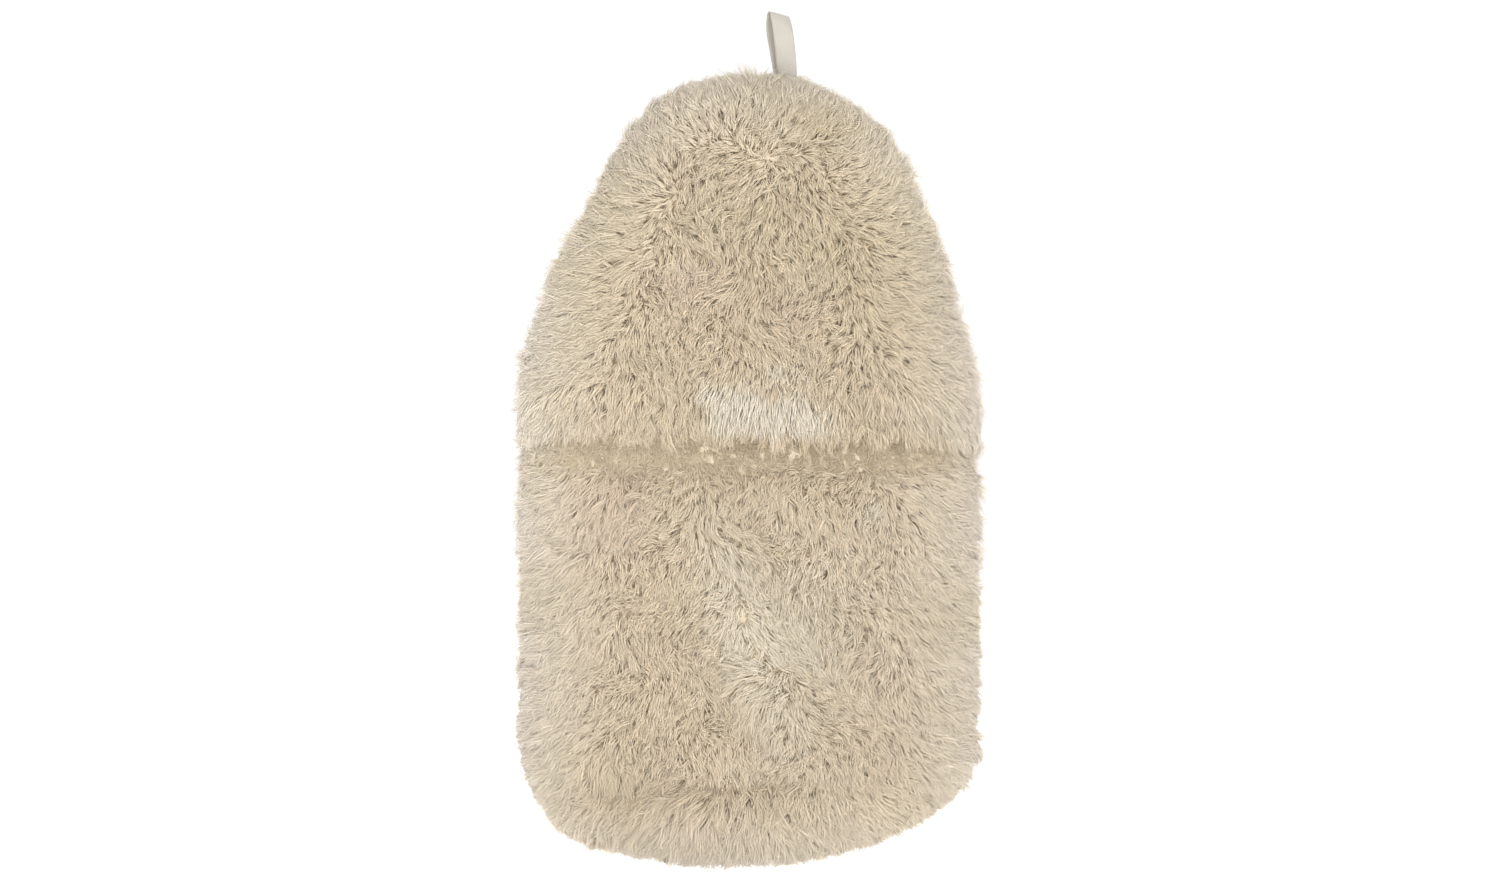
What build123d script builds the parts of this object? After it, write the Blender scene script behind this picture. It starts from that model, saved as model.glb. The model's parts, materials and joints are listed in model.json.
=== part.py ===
"""Hot water bottle in a long-pile plush cover with an envelope mouth and a ribbon hanging loop.

Row frame, millimetres: +Z runs up from the base to the hanging loop, -Y is the envelope side, X runs across.
The origin is the centre of the base. The front and back halves of the cover meet at the seam plane y = 0.
"""

import math
import os

from build123d import *

# Outer size of the pile, measured over the fibre tips.
HEIGHT = 395.0
HALF_WIDTH = 115.0
SHOULDER_Z = 233.0  # the sides are straight below this height and taper above it
BASE_Z = 64.5  # the rounded base ends at this height
HALF_DEPTH = 36.0  # the flap's outermost pile, and the flattened far side
POCKET_DEPTH = 32.0  # the pocket panel lies a step behind the flap
PLAIN_DEPTH = 38.5  # before its pile is flattened to HALF_DEPTH

# Exponents of the outline: (1 - share**power)**root at the base and at the top.
BASE_POWER, BASE_ROOT = 2.1, 0.48
TOP_POWER, TOP_ROOT = 1.2, 0.38
END_ROUND = 48.0  # the depth falls off over this length at both ends
TIP_FLAT = 0.8  # each tip is a small flat, as wide as the outline is this far from the tip
DEPTH_POWER = 2.4

# The cover's layers, each given by how far its outline lies inside the pile's outline and by its half depth.
CAVITY_INSET, CAVITY_DEPTH = 14.0, 18.0
POCKET_TOP_INSET, POCKET_TOP_DEPTH = 10.0, 23.2
LIP_INSET, LIP_DEPTH = 7.5, 26.4
SEAM_GAP = 0.6  # room for the seam's thread between the front and back panels

# The envelope mouth.
HEM_Z = 217.0  # lower edge of the flap
POCKET_TOP_Z = 262.0  # upper edge of the pocket, under the flap
FLAP_HINGE_Z = 288.0  # the flap bends here
LIP_HALF_WIDTH = 78.0  # outside this width the flap is held by the side seams
FIT_GAP = 0.5

# Hem tapes, closure patches and thread.
TAPE = 0.7
TAPE_WIDTH = 12.0
PATCH = 1.1
PATCH_SIZE = (50.0, 20.0)
PATCH_X = 6.0
PATCH_Z = HEM_Z + 22.6
POCKET_TAPE_HALF_WIDTH = 96.0
THREAD = 0.4
STITCH_LENGTH, STITCH_PITCH = 3.4, 5.2
HEM_STITCH_INSIDE, PATCH_STITCH_INSIDE = 2.0, 3.0  # rows lie this far inside the tape's and patch's edges
SEAM_OUTSIDE_CAVITY, SEAM_WIDTH = 3.0, 1.2  # the perimeter seam's place and width
LABEL_X, LABEL_Z = (-100.0, -91.8), (110.0, 140.0)

# Ribbon loop.
RIBBON_WIDTH, RIBBON = 10.0, 0.6
LOOP_X = 16.0
LOOP_PIVOT_Z = 389.0
LOOP_TOP_Z = 426.5
LOOP_HALF_OPENING = 4.2
LOOP_LEAN = 0.12  # the loop is widest this share of its height above its middle
LOOP_NOTCH_HALF_DEPTH = 15.0
LOOP_NOTCH_BELOW = 1.5
TACK_BELOW, TACK_COUNT, TACK_PITCH, TACK_HEIGHT = 1.8, 5, 1.9, 2.6

# Rubber bottle.
BOTTLE_WALL = 2.0
BOTTLE_BASE_Z = 17.0
BOTTLE_CORNER, BOTTLE_CORNER_POWER = 48.0, 2.2
BASE_WIDTH_SHARE, BASE_DEPTH_SHARE = 0.25, 0.2  # the bottle's flat base, as shares of its full size
BOTTLE_MIDDLE_Z = (120.0, 180.0)
BOTTLE_SHOULDER_Z = 236.0
BOTTLE_NECK_Z = 306.0
BOTTLE_HALF_WIDTH, BOTTLE_HALF_DEPTH = 90.0, 16.0
NECK_HALF_WIDTH, NECK_HALF_DEPTH = 19.0, 15.0
FUNNEL_Z, MOUTH_Z = 320.0, 340.0
FUNNEL_HALF_WIDTH, FUNNEL_HALF_DEPTH = 25.5, 16.2  # half way up the funnel
MOUTH_HALF_WIDTH, MOUTH_HALF_DEPTH = 30.0, 16.8
FLANGE_WIDTH, FLANGE = 1.4, 3.0  # moulded edge round the bottle
RIB_COUNT, RIB_PITCH, RIB_WIDTH, RIB_HEIGHT = 11, 14.0, 4.0, 0.8
RIB_LOW_Z, RIB_HIGH_Z = 78.0, 222.0

# Bush and stopper. Turning the stopper one turn lifts it by one pitch.
BUSH_RADIUS, BUSH_BORE = 12.4, 9.25
BUSH_LOW_Z = 298.0
PLUG_RADIUS = 9.0
PLUG_LOW_Z = 301.0
THREAD_PITCH = 3.0
THREAD_HEIGHT = 1.2
THREAD_TURNS = 4.5
THREAD_LOW_Z = 303.0
THREAD_ROOT, THREAD_CREST = 1.9, 0.9  # axial width of the plug's thread
THREAD_PLAY = 0.25  # radial and axial room in the bush's groove
WASHER_RADIUS, WASHER, WASHER_BORE = 12.0, 2.5, 7.0
KNOB_RADIUS, KNOB_FLANGE = 12.6, 3.0
KNOB_CHAMFER, KNOB_PLAY = 0.8, 0.3
GRIP_WIDTH, GRIP_THICKNESS, GRIP_TOP_Z = 23.0, 8.0, 351.0
GRIP_CORNER = 8.0
DIMPLE_RADIUS, DIMPLE_DEPTH = 20.0, 1.2
SCREW_RADIUS, SCREW_HEAD_RADIUS, SCREW_HEAD = 2.0, 4.0, 2.0
SCREW_IN_KNOB = 12.0  # the screw ends this far above the knob's underside
SCREW_HOLE_SPARE = 2.0
SLOT_WIDTH, SLOT_DEPTH = 1.0, 0.7
RUNNING = 0.06

SPACE = 2 * HEIGHT  # larger than anything in the model
OVERLAP = 0.5  # joined solids run into each other by this much


def width_share(z, inset):
    """Share of the full half width that the outline has at height z."""
    if z < BASE_Z:
        share = min(1.0, (BASE_Z - z) / (BASE_Z - inset))
        return (1 - share**BASE_POWER) ** BASE_ROOT
    if z > SHOULDER_Z:
        share = min(1.0, (z - SHOULDER_Z) / (HEIGHT - inset - SHOULDER_Z))
        return (1 - share**TOP_POWER) ** TOP_ROOT
    return 1.0


def depth_share(z, inset):
    """Share of the full half depth at height z, rounded off at both ends."""
    from_end = min(z - inset, HEIGHT - inset - z)
    if from_end >= END_ROUND:
        return 1.0
    share = 1 - max(0.0, from_end) / END_ROUND
    return (1 - share**DEPTH_POWER) ** (1 / DEPTH_POWER)


def end_spaced(low, high, count):
    """Heights from low to high, close together at both ends."""
    return [low + (high - low) * (1 - math.cos(math.pi * i / (count - 1))) / 2 for i in range(count)]


def oval(z, half_width, half_depth):
    return Plane.XY.offset(z) * Ellipse(half_width, half_depth)


def pillow(inset, half_depth):
    """Cushion-shaped solid whose outline lies inset inside the pile's outline."""
    low, high = inset, HEIGHT - inset
    ovals = []
    for z in end_spaced(low, high, 23):
        shaped_z = min(max(z, low + TIP_FLAT), high - TIP_FLAT)
        half_width = (HALF_WIDTH - inset) * width_share(shaped_z, inset)
        ovals.append(oval(z, half_width, half_depth * depth_share(shaped_z, inset)))
    return loft(ovals)


def block(x, y, z):
    """Box from ranges: x, y and z are (low, high) pairs."""
    size = [high - low for low, high in (x, y, z)]
    centre = [(low + high) / 2 for low, high in (x, y, z)]
    return Pos(*centre) * Box(*size)


def front(z_low=-SPACE, z_high=SPACE, x_half=SPACE):
    """The envelope side's space, clear of the seam plane."""
    return block((-x_half, x_half), (-SPACE, -SEAM_GAP / 2), (z_low, z_high))


def skins_on(inset, depth, thickness):
    """A cloth skin and the thread's skin on top of it, outside the pillow or, if negative, inside it."""
    thread = math.copysign(THREAD, thickness)
    cloth_face = pillow(inset, depth)
    thread_face = pillow(inset - thickness / 2, depth + thickness)
    far_face = pillow(inset - (thickness + thread) / 2, depth + thickness + thread)
    if thickness > 0:
        return thread_face - cloth_face, far_face - thread_face
    return cloth_face - thread_face, thread_face - far_face


def stitch_row(x_low, x_high, z):
    """Boxes that cut a row of separate stitches out of a thin layer."""
    count = int((x_high - x_low) // STITCH_PITCH)
    start = (x_low + x_high - (count - 1) * STITCH_PITCH) / 2
    return [
        block(
            (start + i * STITCH_PITCH - STITCH_LENGTH / 2, start + i * STITCH_PITCH + STITCH_LENGTH / 2),
            (-SPACE, 0),
            (z - THREAD / 2, z + THREAD / 2),
        )
        for i in range(count)
    ]


def hem_stitches(skin, z, x_half):
    """Two rows of stitches that hold a hem tape."""
    inside = HEM_STITCH_INSIDE
    rows = []
    for row_z in (z + inside, z + TAPE_WIDTH - inside):
        rows += stitch_row(-x_half + inside, x_half - inside, row_z)
    return cut_from(skin, rows)


def cut_from(skin, boxes):
    """The parts of a skin inside each box, as one group of separate solids."""
    return Compound([solid for box in boxes for solid in (skin & box).solids()])


# Cover panels


def loop_notch():
    """Room in the pile for the ribbon to swing."""
    half = RIBBON_WIDTH / 2 + FIT_GAP
    return block(
        (LOOP_X - half, LOOP_X + half),
        (-LOOP_NOTCH_HALF_DEPTH, LOOP_NOTCH_HALF_DEPTH),
        (LOOP_PIVOT_Z - LOOP_NOTCH_BELOW, SPACE),
    )


def plain_panel(cavity):
    back = block((-SPACE, SPACE), (SEAM_GAP / 2, HALF_DEPTH), (-SPACE, SPACE))
    return (pillow(0, PLAIN_DEPTH) - cavity) & back - loop_notch()


def pocket_panel(cavity):
    shown = (pillow(0, POCKET_DEPTH) - cavity) & front(z_high=HEM_Z - FIT_GAP)
    tucked = pillow(POCKET_TOP_INSET, POCKET_TOP_DEPTH) - cavity
    tucked = tucked & front(z_low=HEM_Z - 2 * FIT_GAP, z_high=POCKET_TOP_Z)
    return shown + tucked


def flap_panel(cavity, outer, under):
    """The flap's held part: everything above the hinge line, and the strips at both side seams."""
    upper = (outer - cavity) & front(z_low=FLAP_HINGE_Z + FIT_GAP)
    sides = (outer - under) & front(z_low=HEM_Z, z_high=FLAP_HINGE_Z + 2 * FIT_GAP)
    sides = sides - front(x_half=LIP_HALF_WIDTH + FIT_GAP, z_high=FLAP_HINGE_Z + FIT_GAP)
    return upper + sides - loop_notch()


def flap_lip(outer, under):
    return (outer - under) & front(z_low=HEM_Z, z_high=FLAP_HINGE_Z, x_half=LIP_HALF_WIDTH)


# Tapes, patches and thread


def hem_tape(skin, z_low, x_half):
    return skin & front(z_low=z_low, z_high=z_low + TAPE_WIDTH, x_half=x_half)


def patch(skin):
    across, up = PATCH_SIZE
    return skin & block(
        (PATCH_X - across / 2, PATCH_X + across / 2), (-SPACE, 0), (PATCH_Z - up / 2, PATCH_Z + up / 2)
    )


def patch_stitches(skin):
    across, up = PATCH_SIZE
    inside = PATCH_STITCH_INSIDE
    rows = []
    for z in (PATCH_Z - up / 2 + inside, PATCH_Z + up / 2 - inside):
        rows += stitch_row(PATCH_X - across / 2, PATCH_X + across / 2, z)
    return cut_from(skin, rows)


def seam_outline(inset):
    """Closed outline of the cover at a given inset, as a face in the seam plane."""
    end = 0.3
    heights = end_spaced(inset + end, HEIGHT - inset - end, 31)
    right = [((HALF_WIDTH - inset) * width_share(z, inset), z) for z in heights]
    left = [(-x, z) for x, z in reversed(right)]
    edges = [
        Spline(*right),
        Line(right[-1], left[0]),
        Spline(*left),
        Line(left[-1], right[0]),
    ]
    return Plane.XZ * make_face(Wire(edges))


def perimeter_seam():
    """Thread of the seam, lying in the gap between the front and back panels."""
    outside = CAVITY_INSET - SEAM_OUTSIDE_CAVITY
    ring = seam_outline(outside) - seam_outline(outside + SEAM_WIDTH)
    return extrude(ring, amount=THREAD / 2, both=True)


def care_label():
    """Blank label folded into the side seam, lying flat in the cavity beside the bottle."""
    return block(LABEL_X, (-TAPE / 2, TAPE / 2), LABEL_Z)


def loop_bar_tack():
    """Short upright stitches in the top seam, under the ribbon's ends."""
    top = LOOP_PIVOT_Z - TACK_BELOW
    stitches = []
    for i in range(TACK_COUNT):
        x = LOOP_X + (i - (TACK_COUNT - 1) / 2) * TACK_PITCH
        stitches.append(
            block((x - THREAD, x + THREAD), (-THREAD / 2, THREAD / 2), (top - TACK_HEIGHT, top))
        )
    return Compound(stitches)


def hang_loop():
    """Ribbon folded into a tall loop whose opening faces along X."""
    bottom = LOOP_PIVOT_Z
    middle = (LOOP_PIVOT_Z + LOOP_TOP_Z) / 2

    def outline(shrink):
        half = LOOP_HALF_OPENING - shrink
        low, high = bottom + shrink, LOOP_TOP_Z - shrink
        lean = LOOP_LEAN * (high - low)
        right = Spline((0, low), (half, middle + lean), (0, high), tangents=[(0.5, 1), (-1, 0)])
        left = Spline((0, high), (-half, middle + lean), (0, low), tangents=[(-1, 0), (0.5, -1)])
        return Plane.YZ * make_face(Wire([right, left]))

    band = outline(0) - outline(RIBBON)
    return Pos(LOOP_X, 0, 0) * extrude(band, amount=RIBBON_WIDTH / 2, both=True)


# Rubber bottle and stopper


def bottle_half_sizes(z):
    """Half width and half depth of the bottle's outside at height z."""
    if z < BOTTLE_BASE_Z + BOTTLE_CORNER:
        share = 1 - (z - BOTTLE_BASE_Z) / BOTTLE_CORNER
        round_off = math.sqrt(max(0.0, 1 - share**BOTTLE_CORNER_POWER))
        return (
            BOTTLE_HALF_WIDTH * (BASE_WIDTH_SHARE + (1 - BASE_WIDTH_SHARE) * round_off),
            BOTTLE_HALF_DEPTH * (BASE_DEPTH_SHARE + (1 - BASE_DEPTH_SHARE) * round_off),
        )
    if z <= BOTTLE_SHOULDER_Z:
        return BOTTLE_HALF_WIDTH, BOTTLE_HALF_DEPTH
    share = (z - BOTTLE_SHOULDER_Z) / (BOTTLE_NECK_Z - BOTTLE_SHOULDER_Z)
    ease = (1 - math.cos(math.pi * min(1.0, share))) / 2
    return (
        BOTTLE_HALF_WIDTH + (NECK_HALF_WIDTH - BOTTLE_HALF_WIDTH) * ease,
        BOTTLE_HALF_DEPTH + (NECK_HALF_DEPTH - BOTTLE_HALF_DEPTH) * ease,
    )


def bottle_body(wall, top):
    """The bottle below its funnel, made smaller by wall."""
    low = BOTTLE_BASE_Z + wall
    heights = end_spaced(low, low + BOTTLE_CORNER, 7)
    heights += BOTTLE_MIDDLE_Z
    heights += [BOTTLE_SHOULDER_Z + (BOTTLE_NECK_Z - BOTTLE_SHOULDER_Z) * i / 6 for i in range(7)]
    heights.append(top)
    ovals = []
    for z in heights:
        half_width, half_depth = bottle_half_sizes(z - wall if z < BOTTLE_MIDDLE_Z[0] else z)
        ovals.append(oval(z, half_width - wall, half_depth - wall))
    return loft(ovals)


def bottle_shell():
    body = bottle_body(0.0, FUNNEL_Z)
    funnel = loft([
        oval(FUNNEL_Z - OVERLAP, NECK_HALF_WIDTH, NECK_HALF_DEPTH),
        oval((FUNNEL_Z + MOUTH_Z) / 2, FUNNEL_HALF_WIDTH, FUNNEL_HALF_DEPTH),
        oval(MOUTH_Z, MOUTH_HALF_WIDTH, MOUTH_HALF_DEPTH),
    ])
    cup = loft([
        oval(FUNNEL_Z, NECK_HALF_WIDTH - BOTTLE_WALL, KNOB_RADIUS + KNOB_PLAY),
        oval(MOUTH_Z + RUNNING, MOUTH_HALF_WIDTH - BOTTLE_WALL, MOUTH_HALF_DEPTH - BOTTLE_WALL),
    ])
    hollow = bottle_body(BOTTLE_WALL, BUSH_LOW_Z)
    bore = Pos(0, 0, FUNNEL_Z) * Cylinder(BUSH_RADIUS, 2 * (FUNNEL_Z - BUSH_LOW_Z + BUSH_RADIUS))
    shell = body + bottle_ribs() + bottle_flange()
    return (shell - hollow) + (funnel - cup) - bore


def bottle_ribs():
    """Raised upright ribs on both faces."""
    low, high = RIB_LOW_Z - RIB_WIDTH, RIB_HIGH_Z + RIB_WIDTH
    raised = loft([oval(z, BOTTLE_HALF_WIDTH, BOTTLE_HALF_DEPTH + RIB_HEIGHT) for z in (low, high)])
    ribs = []
    for i in range(RIB_COUNT):
        x = (i - (RIB_COUNT - 1) / 2) * RIB_PITCH
        ribs.append(block((x - RIB_WIDTH / 2, x + RIB_WIDTH / 2), (-SPACE, SPACE), (RIB_LOW_Z, RIB_HIGH_Z)))
    return cut_from(raised, ribs)


def bottle_flange():
    """Moulded edge that runs round the body in the seam plane."""
    heights = end_spaced(BOTTLE_BASE_Z, BOTTLE_NECK_Z, 23)
    right = [(bottle_half_sizes(z)[0] + FLANGE_WIDTH, z) for z in heights]
    left = [(-x, z) for x, z in reversed(right)]
    edges = [Spline(*right), Line(right[-1], left[0]), Spline(*left), Line(left[-1], right[0])]
    return extrude(Plane.XZ * make_face(Wire(edges)), amount=FLANGE / 2, both=True)


def screw_thread(radius, crest_radius, low, turns, play):
    """Helical ridge of trapezoid section on a core of that radius, wider by play on each side."""
    path = Pos(0, 0, low) * Helix(THREAD_PITCH, turns * THREAD_PITCH, radius)
    sunk = 0.4  # the ridge's root lies this far inside the core
    root, crest = THREAD_ROOT / 2 + play, THREAD_CREST / 2 + play
    reach = crest_radius - radius
    section = Polyline((-sunk, -root), (reach, -crest), (reach, crest), (-sunk, root), close=True)
    start = Plane(origin=path @ 0, x_dir=(1, 0, 0), z_dir=(0, -1, 0))
    return sweep(start * make_face(section), path=path, is_frenet=True)


def ring(radius, bore, low, high):
    height = high - low
    return Pos(0, 0, (low + high) / 2) * (Cylinder(radius, height) - Cylinder(bore, height + 1))


def neck_bush():
    """Brass insert. Its groove is in step with the plug's thread and runs out of both ends."""
    turns_below, turns_spare = 2, 0.5
    groove = screw_thread(
        PLUG_RADIUS,
        PLUG_RADIUS + THREAD_HEIGHT + THREAD_PLAY,
        THREAD_LOW_Z - turns_below * THREAD_PITCH,
        THREAD_TURNS + 2 * turns_below + turns_spare,
        THREAD_PLAY,
    )
    length = FUNNEL_Z - BUSH_LOW_Z
    middle = Pos(0, 0, (FUNNEL_Z + BUSH_LOW_Z) / 2)
    bore = groove + middle * Cylinder(BUSH_BORE, 2 * length)
    return middle * Cylinder(BUSH_RADIUS, length) - bore


def stopper_washer():
    return ring(WASHER_RADIUS, WASHER_BORE, FUNNEL_Z, FUNNEL_Z + WASHER)


def stopper_plug():
    seat = FUNNEL_Z + WASHER
    shank = Pos(0, 0, (PLUG_LOW_Z + FUNNEL_Z - RUNNING) / 2) * Cylinder(
        PLUG_RADIUS, FUNNEL_Z - RUNNING - PLUG_LOW_Z
    )
    ridge = screw_thread(PLUG_RADIUS, PLUG_RADIUS + THREAD_HEIGHT, THREAD_LOW_Z, THREAD_TURNS, 0.0)
    shank = shank + ridge - Pos(0, 0, PLUG_LOW_Z) * Cylinder(SCREW_RADIUS, 4 * (FUNNEL_Z - PLUG_LOW_Z))
    spigot = ring(WASHER_BORE - RUNNING, SCREW_RADIUS, FUNNEL_Z - RUNNING, seat)
    recess = Pos(0, 0, PLUG_LOW_Z + SCREW_HEAD / 2) * Cylinder(SCREW_HEAD_RADIUS, SCREW_HEAD)
    return shank + spigot - recess


def stopper_knob():
    low = FUNNEL_Z + WASHER
    flange = Pos(0, 0, low + KNOB_FLANGE / 2) * Cylinder(KNOB_RADIUS, KNOB_FLANGE)
    flange = chamfer(flange.edges().group_by(Axis.Z)[-1], KNOB_CHAMFER)
    grip_low = low + KNOB_FLANGE - OVERLAP
    grip = block(
        (-GRIP_WIDTH / 2, GRIP_WIDTH / 2), (-GRIP_THICKNESS / 2, GRIP_THICKNESS / 2), (grip_low, GRIP_TOP_Z)
    )
    grip = fillet(grip.edges().filter_by(Axis.Y).group_by(Axis.Z)[-1], GRIP_CORNER)
    grip = grip - dimples((low + KNOB_FLANGE + GRIP_TOP_Z) / 2)
    screw_hole = Pos(0, 0, low) * Cylinder(SCREW_RADIUS, 2 * (SCREW_IN_KNOB + SCREW_HOLE_SPARE))
    return flange + grip - screw_hole


def dimples(z):
    """Shallow finger hollows in both faces of the grip."""
    offset = GRIP_THICKNESS / 2 + DIMPLE_RADIUS - DIMPLE_DEPTH
    return [Pos(0, side * offset, z) * Sphere(DIMPLE_RADIUS) for side in (-1, 1)]


def stopper_screw():
    top = FUNNEL_Z + WASHER + SCREW_IN_KNOB
    shank = Pos(0, 0, (PLUG_LOW_Z + top) / 2) * Cylinder(SCREW_RADIUS, top - PLUG_LOW_Z)
    head = Pos(0, 0, PLUG_LOW_Z + SCREW_HEAD / 2) * Cylinder(SCREW_HEAD_RADIUS, SCREW_HEAD)
    slot = Pos(0, 0, PLUG_LOW_Z) * Box(2 * SCREW_HEAD_RADIUS, SLOT_WIDTH, 2 * SLOT_DEPTH)
    return shank + head - slot


def build():
    cavity = pillow(CAVITY_INSET, CAVITY_DEPTH)
    outer = pillow(0, HALF_DEPTH)
    under = pillow(LIP_INSET, LIP_DEPTH)
    pocket_skin, pocket_thread_skin = skins_on(POCKET_TOP_INSET, POCKET_TOP_DEPTH, TAPE)
    pocket_patch_skin, pocket_patch_thread_skin = skins_on(POCKET_TOP_INSET, POCKET_TOP_DEPTH, PATCH)
    lip_skin, lip_thread_skin = skins_on(LIP_INSET, LIP_DEPTH, -TAPE)
    lip_patch_skin, lip_patch_thread_skin = skins_on(LIP_INSET, LIP_DEPTH, -PATCH)
    return {
        "plain_panel": plain_panel(cavity),
        "pocket_panel": pocket_panel(cavity),
        "flap_panel": flap_panel(cavity, outer, under),
        "flap_lip": flap_lip(outer, under),
        "flap_hem": hem_tape(lip_skin, HEM_Z, LIP_HALF_WIDTH),
        "pocket_hem": hem_tape(pocket_skin, POCKET_TOP_Z - TAPE_WIDTH, POCKET_TAPE_HALF_WIDTH),
        "closure_loop_patch": patch(lip_patch_skin),
        "closure_hook_patch": patch(pocket_patch_skin),
        "flap_hem_stitches": hem_stitches(lip_thread_skin, HEM_Z, LIP_HALF_WIDTH),
        "pocket_hem_stitches": hem_stitches(
            pocket_thread_skin, POCKET_TOP_Z - TAPE_WIDTH, POCKET_TAPE_HALF_WIDTH - HEM_STITCH_INSIDE
        ),
        "loop_patch_stitches": patch_stitches(lip_patch_thread_skin),
        "hook_patch_stitches": patch_stitches(pocket_patch_thread_skin),
        "perimeter_seam": perimeter_seam(),
        "care_label": care_label(),
        "loop_bar_tack": loop_bar_tack(),
        "hang_loop": hang_loop(),
        "bottle_shell": bottle_shell(),
        "neck_bush": neck_bush(),
        "stopper_plug": stopper_plug(),
        "stopper_knob": stopper_knob(),
        "stopper_washer": stopper_washer(),
        "stopper_screw": stopper_screw(),
    }


os.makedirs("parts", exist_ok=True)
for node, shape in build().items():
    export_step(shape, f"parts/{node}.step")
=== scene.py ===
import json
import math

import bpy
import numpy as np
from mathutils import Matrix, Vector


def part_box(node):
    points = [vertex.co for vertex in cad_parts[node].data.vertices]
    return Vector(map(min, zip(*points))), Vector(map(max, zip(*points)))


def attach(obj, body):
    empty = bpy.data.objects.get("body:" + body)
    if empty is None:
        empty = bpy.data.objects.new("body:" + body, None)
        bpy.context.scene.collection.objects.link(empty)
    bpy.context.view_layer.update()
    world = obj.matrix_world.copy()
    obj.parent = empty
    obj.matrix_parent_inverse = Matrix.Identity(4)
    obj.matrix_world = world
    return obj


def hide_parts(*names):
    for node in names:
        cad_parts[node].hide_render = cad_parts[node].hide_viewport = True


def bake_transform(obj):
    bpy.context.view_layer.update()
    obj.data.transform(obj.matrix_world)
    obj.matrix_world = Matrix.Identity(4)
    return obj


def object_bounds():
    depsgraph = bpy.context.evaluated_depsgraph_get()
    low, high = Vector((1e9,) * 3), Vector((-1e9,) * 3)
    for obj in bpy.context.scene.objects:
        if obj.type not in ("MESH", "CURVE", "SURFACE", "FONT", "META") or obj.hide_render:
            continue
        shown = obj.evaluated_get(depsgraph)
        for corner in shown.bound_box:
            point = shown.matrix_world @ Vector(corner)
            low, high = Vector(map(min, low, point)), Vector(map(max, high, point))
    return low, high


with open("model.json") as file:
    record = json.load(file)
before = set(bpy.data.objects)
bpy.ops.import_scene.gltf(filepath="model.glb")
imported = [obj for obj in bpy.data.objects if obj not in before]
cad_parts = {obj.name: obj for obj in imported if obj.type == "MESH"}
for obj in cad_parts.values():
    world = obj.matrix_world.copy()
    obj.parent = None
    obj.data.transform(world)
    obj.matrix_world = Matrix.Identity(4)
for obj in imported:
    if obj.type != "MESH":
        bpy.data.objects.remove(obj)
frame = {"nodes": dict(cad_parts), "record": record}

# Looks of a hot water bottle in a long-pile plush cover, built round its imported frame.
# Metres. +Z runs up to the hanging loop, -Y is the envelope side, X runs across.
# There are four kinds of piece: cloth shells ("cloth"), the pile that grows out of them ("pile"), the
# ribbon, and the frame's own tapes, patches, thread, label, bottle and stopper, which only get materials.
# Left and right are as the camera sees the envelope side: left is -X.

MM = 0.001
cad_low, cad_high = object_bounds()

# Sizes read from the frame.
PLAIN_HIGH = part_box("plain_panel")[1]
LIP_LOW, LIP_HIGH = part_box("flap_lip")
LOOP_LOW, LOOP_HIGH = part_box("hang_loop")
PATCH_LOW, PATCH_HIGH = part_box("closure_hook_patch")
HALF_WIDTH = PLAIN_HIGH.x
HEIGHT = PLAIN_HIGH.z
HEM_Z, HINGE_Z = LIP_LOW.z, LIP_HIGH.z
LIP_HALF_WIDTH = LIP_HIGH.x
POCKET_TOP_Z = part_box("pocket_panel")[1].z
POCKET_TAPE_LOW_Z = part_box("pocket_hem")[0].z

# Outline of the cover: straight sides, a rounded base, and a tapering top with a slight waist.
BASE_Z, SHOULDER_Z = 64.5 * MM, 233.0 * MM
BASE_POWER, BASE_ROOT = 2.1, 0.455
TOP_POWER, TOP_ROOT = 1.2, 0.38
WAIST_Z, WAIST_SPREAD, WAIST_SHARE = 326.0 * MM, 26.0 * MM, 0.025
END_ROUND, DEPTH_POWER = 48.0 * MM, 2.4
TIP_FLAT = 0.8 * MM  # a layer's end rows are as wide as the outline is this far from the end

# Points of the cloth grids, across and up.
COLUMNS, LIP_COLUMNS, SIDE_COLUMNS = 81, 61, 16
FULL_ROWS = 121  # from the base to the top
BASE_ROWS, POCKET_ROWS = 30, 90  # round the pocket's base, and from there to its top
LIP_ROWS, LOW_SIDE_ROWS, HIGH_SIDE_ROWS = 40, 26, 18

# Relief: soft lumps, a parting that runs down the pocket to the right, and a crease near its base.
LUMP_RISE, LUMP_LENGTH = 1.3 * MM, 62.0 * MM
RIDGE_RISE, RIDGE_SPREAD = 4.2 * MM, 13.0 * MM
RIDGE_TOP_X, RIDGE_TOP_Z = -24.0 * MM, 183.0 * MM
RIDGE_RUN, RIDGE_FALL = 50.0 * MM, 130.0 * MM
RIDGE_MIDDLE_Z = 118.0 * MM
CREASE_DROP, CREASE_SPREAD = 4.6 * MM, 6.5 * MM
CREASE_MIDDLE_X, CREASE_MIDDLE_Z = -26.0 * MM, 41.0 * MM

# Each cloth, with the dense underfur on it, lies this far inside the pile's outline, at this half depth.
POCKET_CLOTH = (7.0 * MM, 27.5 * MM)
POCKET_TOP_CLOTH = (8.4 * MM, 23.2 * MM)  # where the flap covers it
PLAIN_CLOTH = (7.5 * MM, 29.5 * MM)
FLAP_CLOTH = (6.5 * MM, 30.0 * MM)
FLAP_LINING = (7.5 * MM, 26.4 * MM)
CLOTH = 1.0 * MM  # thickness
TUCK_START_Z, TUCK_END_Z = HEM_Z - 27.0 * MM, HEM_Z - 9.0 * MM  # the pocket sinks under the flap here
CLOTH_HEM_Z = HEM_Z - 0.5 * MM  # the flap's cloth ends here and its pile hangs lower

# The flap's pieces meet at these heights, which span the flap's bend.
BEND_TOP_Z = HINGE_Z + 12.0 * MM
BEND_LOW_Z = HINGE_Z - 23.0 * MM

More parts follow.
